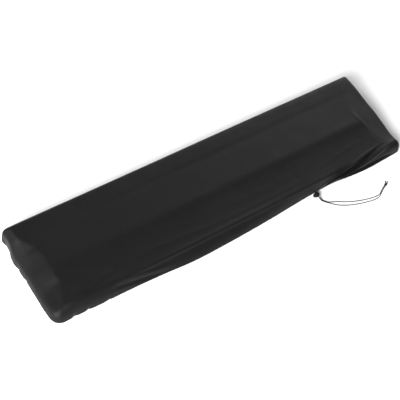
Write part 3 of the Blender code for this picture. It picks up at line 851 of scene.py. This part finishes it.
def make_tail(name, route, material, fray_material, seed):
    """A free end: a braided tube that opens a little at its tip, with fine fibres fanning out of it.

    A fibre is a tapered tube from a point in the tip. It runs on ahead and, by a power of the share along
    it, outward, and it stays above the surface.
    """
    random = np.random.default_rng(seed)
    path = in_frame(smooth_route(route, RING_SPACING))
    side = np.cross(np.gradient(path, axis=0), [0.0, 0.0, 1.0])
    share = np.linspace(0, 1, len(path))
    opening = soft_step((share - TAIL_OPENING_START) / (1 - TAIL_OPENING_START))
    radius = CORD_DIAMETER / 2 * (TAIL_START_SIZE + TAIL_OPENING * opening)
    rings, uv = tube_rings(path, side, radius, relief=BRAID_RELIEF)
    tail = new_piece(name, rings, tube_faces(*rings.shape[:2]), material, uv)

    ahead = path[-1] - path[-2]
    ahead /= np.linalg.norm(ahead)
    across = np.cross(ahead, [0.0, 0.0, 1.0])
    across /= np.linalg.norm(across)
    up = np.cross(across, ahead)
    angle = random.uniform(0, 2 * np.pi, FRAY_FIBRES)
    spot = np.sqrt(random.uniform(0, 1, FRAY_FIBRES))
    outward = (spot * np.cos(angle))[:, None] * across + (spot * np.sin(angle))[:, None] * up
    length = FRAY_LENGTH * random.uniform(FRAY_SHORTEST, 1.0, FRAY_FIBRES)
    t = np.linspace(0, 1, FRAY_STEPS)[None, :, None]
    start = path[-1] - FRAY_ROOT * ahead + CORD_DIAMETER / 2 * FRAY_ROOT_SPREAD * outward
    reach = length[:, None, None] * (t * ahead + FRAY_SPREAD * t**FRAY_BEND * outward[:, None, :])
    line = start[:, None, :] + reach
    line[..., 2] = np.maximum(line[..., 2], -REST_HEIGHT + 2 * FRAY_RADIUS)
    around = np.linspace(0, 2 * np.pi, FRAY_SIDES, endpoint=False)
    circle = np.cos(around)[:, None] * across + np.sin(around)[:, None] * up
    thin = (FRAY_RADIUS * (1 - FRAY_TAPER * t))[..., None]
    fibres = line[:, :, None, :] + thin * circle
    count, steps, sides = fibres.shape[:3]
    faces = [face for fibre in range(count) for face in tube_faces(steps, sides, fibre * steps * sides)]
    fray = new_piece(name + "_fray", fibres, faces, fray_material)
    return tail, fray


def math_node(tree, operation, *values):
    """A Math node fed by sockets or plain numbers; gives its output."""
    node = tree.nodes.new("ShaderNodeMath")
    node.operation = operation
    for socket, value in zip(node.inputs, values):
        if isinstance(value, bpy.types.NodeSocket):
            tree.links.new(value, socket)
        else:
            socket.default_value = value
    return node.outputs[0]


def new_group(name, inputs, outputs):
    """An empty shader node group with named sockets: inputs are (name, type, value), outputs (name, type)."""
    tree = bpy.data.node_groups.new(name, "ShaderNodeTree")
    for label, kind, value in inputs:
        socket = tree.interface.new_socket(label, in_out="INPUT", socket_type=kind)
        if value is not None:
            socket.default_value = value
    for label, kind in outputs:
        tree.interface.new_socket(label, in_out="OUTPUT", socket_type=kind)
    return tree, tree.nodes.new("NodeGroupInput"), tree.nodes.new("NodeGroupOutput")


def knit_group():
    """Fine jersey: columns of V-shaped stitches, whose legs slant away from the middle of the column."""
    tree, given, result = new_group(
        "knit stitches",
        [
            ("Vector", "NodeSocketVector", None),
            ("Wale", "NodeSocketFloat", 0.001),
            ("Course", "NodeSocketFloat", 0.001),
        ],
        [("Height", "NodeSocketFloat")],
    )
    parts = tree.nodes.new("ShaderNodeSeparateXYZ")
    tree.links.new(given.outputs["Vector"], parts.inputs[0])
    column = math_node(tree, "FRACT", math_node(tree, "DIVIDE", parts.outputs[0], given.outputs["Wale"]))
    aside = math_node(tree, "ABSOLUTE", math_node(tree, "SUBTRACT", column, 0.5))
    course = math_node(tree, "DIVIDE", parts.outputs[1], given.outputs["Course"])
    slant = math_node(tree, "ADD", course, aside)
    leg = math_node(tree, "SINE", math_node(tree, "MULTIPLY", math_node(tree, "FRACT", slant), np.pi))
    crown = math_node(tree, "SINE", math_node(tree, "MULTIPLY", aside, 2 * np.pi))
    crowned = math_node(tree, "ADD", math_node(tree, "MULTIPLY", crown, 0.7), 0.3)
    height = math_node(tree, "MULTIPLY", leg, crowned)
    tree.links.new(height, result.inputs["Height"])
    return tree


def braid_group():
    """Round braid: two sets of ridges that wind opposite ways round the cord."""
    tree, given, result = new_group(
        "braid",
        [
            ("Vector", "NodeSocketVector", None),
            ("Strands", "NodeSocketFloat", 12.0),
            ("Pitch", "NodeSocketFloat", 0.001),
        ],
        [("Height", "NodeSocketFloat")],
    )
    parts = tree.nodes.new("ShaderNodeSeparateXYZ")
    tree.links.new(given.outputs["Vector"], parts.inputs[0])
    around = math_node(tree, "MULTIPLY", parts.outputs[0], given.outputs["Strands"])
    along = math_node(tree, "DIVIDE", parts.outputs[1], given.outputs["Pitch"])
    waves = []
    for way in ("ADD", "SUBTRACT"):
        turns = math_node(tree, way, around, along)
        waves.append(math_node(tree, "COSINE", math_node(tree, "MULTIPLY", turns, 2 * np.pi)))
    tree.links.new(math_node(tree, "MAXIMUM", *waves), result.inputs["Height"])
    return tree


def unevenness_group():
    """Soft noise between a low and a high value, for tone, sheen and crumple that is never quite even."""
    tree, given, result = new_group(
        "unevenness",
        [
            ("Vector", "NodeSocketVector", None),
            ("Scale", "NodeSocketFloat", 5.0),
            ("Low", "NodeSocketFloat", 0.0),
            ("High", "NodeSocketFloat", 1.0),
        ],
        [("Value", "NodeSocketFloat")],
    )
    noise = tree.nodes.new("ShaderNodeTexNoise")
    noise.inputs["Detail"].default_value = 4.0
    tree.links.new(given.outputs["Vector"], noise.inputs["Vector"])
    tree.links.new(given.outputs["Scale"], noise.inputs["Scale"])
    spread = tree.nodes.new("ShaderNodeMapRange")
    spread.inputs["From Min"].default_value = 0.3
    spread.inputs["From Max"].default_value = 0.7
    tree.links.new(noise.outputs["Fac"], spread.inputs["Value"])
    tree.links.new(given.outputs["Low"], spread.inputs["To Min"])
    tree.links.new(given.outputs["High"], spread.inputs["To Max"])
    tree.links.new(spread.outputs["Result"], result.inputs["Value"])
    return tree


GROUPS = {"knit": knit_group(), "braid": braid_group(), "unevenness": unevenness_group()}


def use_group(tree, kind, vector, **values):
    """Places a group in a material, fed by a vector and by plain values; gives its output."""
    node = tree.nodes.new("ShaderNodeGroup")
    node.node_tree = GROUPS[kind]
    tree.links.new(vector, node.inputs["Vector"])
    for label, value in values.items():
        node.inputs[label].default_value = value
    return node.outputs[0]


def grey(tone):
    """A neutral colour."""
    return (tone, tone, tone)


def mixed_colour(tree, factor, dark, light):
    """A colour between two, by a factor from 0 to 1."""
    mix = tree.nodes.new("ShaderNodeMix")
    mix.data_type = "RGBA"
    tree.links.new(factor, mix.inputs["Factor"])
    mix.inputs["A"].default_value = (*dark, 1.0)
    mix.inputs["B"].default_value = (*light, 1.0)
    return mix.outputs["Result"]


def bumped(tree, height, distance, strength, below=None):
    """A Bump node over a height, on top of another bump where one is given; gives its normal."""
    bump = tree.nodes.new("ShaderNodeBump")
    bump.inputs["Distance"].default_value = distance
    bump.inputs["Strength"].default_value = strength
    tree.links.new(height, bump.inputs["Height"])
    if below is not None:
        tree.links.new(below, bump.inputs["Normal"])
    return bump.outputs["Normal"]


def new_material(name):
    """A material with its tree, its shader, and the Object and UV coordinates that its patterns follow."""
    material = bpy.data.materials.new(name)
    material.use_nodes = True
    tree = material.node_tree
    place = tree.nodes.new("ShaderNodeTexCoord")
    return material, tree, tree.nodes["Principled BSDF"], place.outputs["Object"], place.outputs["UV"]


def knit_material():
    """Black stretch knit with a satin face."""
    material, tree, shader, place, cloth = new_material("black stretch knit")
    stitches = use_group(tree, "knit", cloth, Wale=0.0011, Course=0.0009)
    tone = use_group(tree, "unevenness", place, Scale=4.0, Low=0.0, High=1.0)
    colour = mixed_colour(tree, tone, (0.0031, 0.0031, 0.0030), (0.0040, 0.0040, 0.0039))
    tree.links.new(colour, shader.inputs["Base Color"])
    roughness = use_group(tree, "unevenness", place, Scale=9.0, Low=0.50, High=0.60)
    tree.links.new(roughness, shader.inputs["Roughness"])
    crumple = use_group(tree, "unevenness", place, Scale=26.0, Low=0.0, High=1.0)
    soft = bumped(tree, crumple, distance=0.0008, strength=0.5)
    knitted = bumped(tree, stitches, distance=0.0002, strength=0.35, below=soft)
    tree.links.new(knitted, shader.inputs["Normal"])
    shader.inputs["Specular IOR Level"].default_value = 0.145
    shader.inputs["Sheen Weight"].default_value = 0.015
    shader.inputs["Sheen Roughness"].default_value = 0.45
    return material


def cord_material():
    """Black braided elastic cord, with painted shade: darker in the braid's grooves, lighter on its raised
    strands.
    """
    material, tree, shader, place, along = new_material("black braided cord")
    braid = use_group(tree, "braid", along, Strands=BRAID_STRANDS, Pitch=BRAID_PITCH)
    # Painted shade: the colour follows the braid's height, darker in the grooves between the strands and
    # lighter on the raised strands.
    tree.links.new(mixed_colour(tree, braid, grey(0.003), grey(0.010)), shader.inputs["Base Color"])
    roughness = use_group(tree, "unevenness", place, Scale=300.0, Low=0.50, High=0.70)
    tree.links.new(roughness, shader.inputs["Roughness"])
    yarn = use_group(tree, "braid", along, Strands=FINE_STRANDS, Pitch=FINE_PITCH)
    tree.links.new(bumped(tree, yarn, distance=0.00006, strength=0.5), shader.inputs["Normal"])
    shader.inputs["Specular IOR Level"].default_value = 0.25
    shader.inputs["Sheen Weight"].default_value = 0.03
    return material


def fray_material():
    """Loose fibres of the cord, of uneven grey, with painted highlight: much lighter than the black cord, for
    the light that thin fibres catch.
    """
    material, tree, shader, place, _ = new_material("frayed cord fibre")
    tone = use_group(tree, "unevenness", place, Scale=900.0, Low=0.0, High=1.0)
    # Painted highlight: these greys are far lighter than the cord's own black, standing in for light caught
    # by the thin fibres.
    colour = mixed_colour(tree, tone, (0.05, 0.05, 0.05), (0.16, 0.16, 0.155))
    tree.links.new(colour, shader.inputs["Base Color"])
    shader.inputs["Roughness"].default_value = 0.55
    return material


def plastic_material(name, dark, light, roughness):
    """Black moulded plastic between two greys: fine mould grain, and a slightly worn, uneven gloss."""
    material, tree, shader, place, _ = new_material(name)
    tone = use_group(tree, "unevenness", place, Scale=420.0, Low=0.0, High=1.0)
    tree.links.new(mixed_colour(tree, tone, grey(dark), grey(light)), shader.inputs["Base Color"])
    gloss = use_group(tree, "unevenness", place, Scale=260.0, Low=roughness - 0.05, High=roughness + 0.08)
    tree.links.new(gloss, shader.inputs["Roughness"])
    grain = use_group(tree, "unevenness", place, Scale=2600.0, Low=0.0, High=1.0)
    tree.links.new(bumped(tree, grain, distance=0.00003, strength=0.5), shader.inputs["Normal"])
    shader.inputs["Specular IOR Level"].default_value = 0.15
    return material


def floor_material():
    """Pale matt floor."""
    material, tree, shader, place, _ = new_material("pale floor")
    tone = use_group(tree, "unevenness", place, Scale=1.5, Low=0.0, High=1.0)
    tree.links.new(mixed_colour(tree, tone, grey(0.90), grey(0.92)), shader.inputs["Base Color"])
    shader.inputs["Roughness"].default_value = 0.9
    shader.inputs["Specular IOR Level"].default_value = 0.0
    return material


def make_camera():
    """The camera, at the photograph's place and angle."""
    data = bpy.data.cameras.new("camera")
    data.lens = CAMERA_LENS
    data.sensor_width = CAMERA_SENSOR
    data.clip_end = CAMERA_REACH
    camera = bpy.data.objects.new("camera", data)
    camera.location = CAMERA_PLACE
    camera.rotation_euler = Euler(np.radians(CAMERA_TURN_DEG))
    bpy.context.scene.collection.objects.link(camera)
    bpy.context.scene.camera = camera


def make_floor():
    """A wide level floor under the cover."""
    half = FLOOR_HALF_WIDTH
    z = -REST_HEIGHT
    corners = [(-half, -half, z), (half, -half, z), (half, half, z), (-half, half, z)]
    floor = new_piece("studio_floor", corners, [(0, 1, 2, 3)], floor_material())


def make_lights():
    """Square soft boxes that face the cover, in a plain white room."""
    for number, box in enumerate(SOFTBOXES):
        data = bpy.data.lights.new(f"softbox_{number}", "AREA")
        data.size = SOFTBOX_SIZE
        data.energy = box.power
        light = bpy.data.objects.new(data.name, data)
        bearing, rise = np.radians(box.bearing), np.radians(box.rise)
        towards = Vector((np.sin(bearing) * np.cos(rise), -np.cos(bearing) * np.cos(rise), np.sin(rise)))
        light.location = SOFTBOX_DISTANCE * towards
        light.rotation_euler = towards.to_track_quat("Z", "Y").to_euler()
        bpy.context.scene.collection.objects.link(light)
    world = bpy.data.worlds.new("white room")
    world.use_nodes = True
    background = world.node_tree.nodes["Background"]
    background.inputs["Color"].default_value = (1.0, 1.0, 1.0, 1.0)
    background.inputs["Strength"].default_value = WORLD_LIGHT
    bpy.context.scene.world = world


Piece = namedtuple("Piece", "object body slot replaces")


def main():
    """Makes every piece with its finish, attaches each to its body, hides the model's part that it replaces,
    and sets the stage round them.
    """
    make_camera()
    cord = cord_material()
    fray = fray_material()
    knot = make_knot(cord)
    tail_left, fray_left = make_tail("tail_left", TAIL_LEFT_ROUTE, cord, fray, seed=3)
    tail_right, fray_right = make_tail("tail_right", TAIL_RIGHT_ROUTE, cord, fray, seed=8)
    strand_left = make_strand("strand_left", STRAND_LEFT_ROUTE, cord)
    strand_right = make_strand("strand_right", STRAND_RIGHT_ROUTE, cord)

    cover = make_cover(knit_material())
    barrel_finish = plastic_material("lock barrel plastic", dark=0.004, light=0.007, roughness=0.38)
    button_finish = plastic_material("lock button plastic", dark=0.006, light=0.010, roughness=0.40)
    barrel = make_turned("lock_barrel", BARREL_PROFILE, barrel_finish, PARTING_RIDGE)
    cut_cord_holes(barrel)
    button = make_turned("lock_button_cap", BUTTON_PROFILE, button_finish)

    pieces = [
        Piece(cover, "cover", "knit", "cover_cloth"),
        Piece(barrel, "cover", "lock_plastic", "cord_lock_barrel"),
        Piece(button, "lock_button", "button_plastic", "cord_lock_button"),
        Piece(strand_left, "cover", "cord", "draw_cord_left"),
        Piece(strand_right, "cover", "cord", "draw_cord_right"),
        Piece(knot, "cover", "cord", "cord_knot"),
        Piece(tail_left, "cover", "cord", "cord_tail_left"),
        Piece(tail_right, "cover", "cord", "cord_tail_right"),
        Piece(fray_left, "cover", "cord", None),
        Piece(fray_right, "cover", "cord", None),
    ]
    for piece in pieces:
        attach(piece.object, piece.body)
        if piece.replaces:
            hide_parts(piece.replaces)

    make_floor()
    make_lights()
    bpy.context.scene.view_settings.view_transform = "Standard"


main()
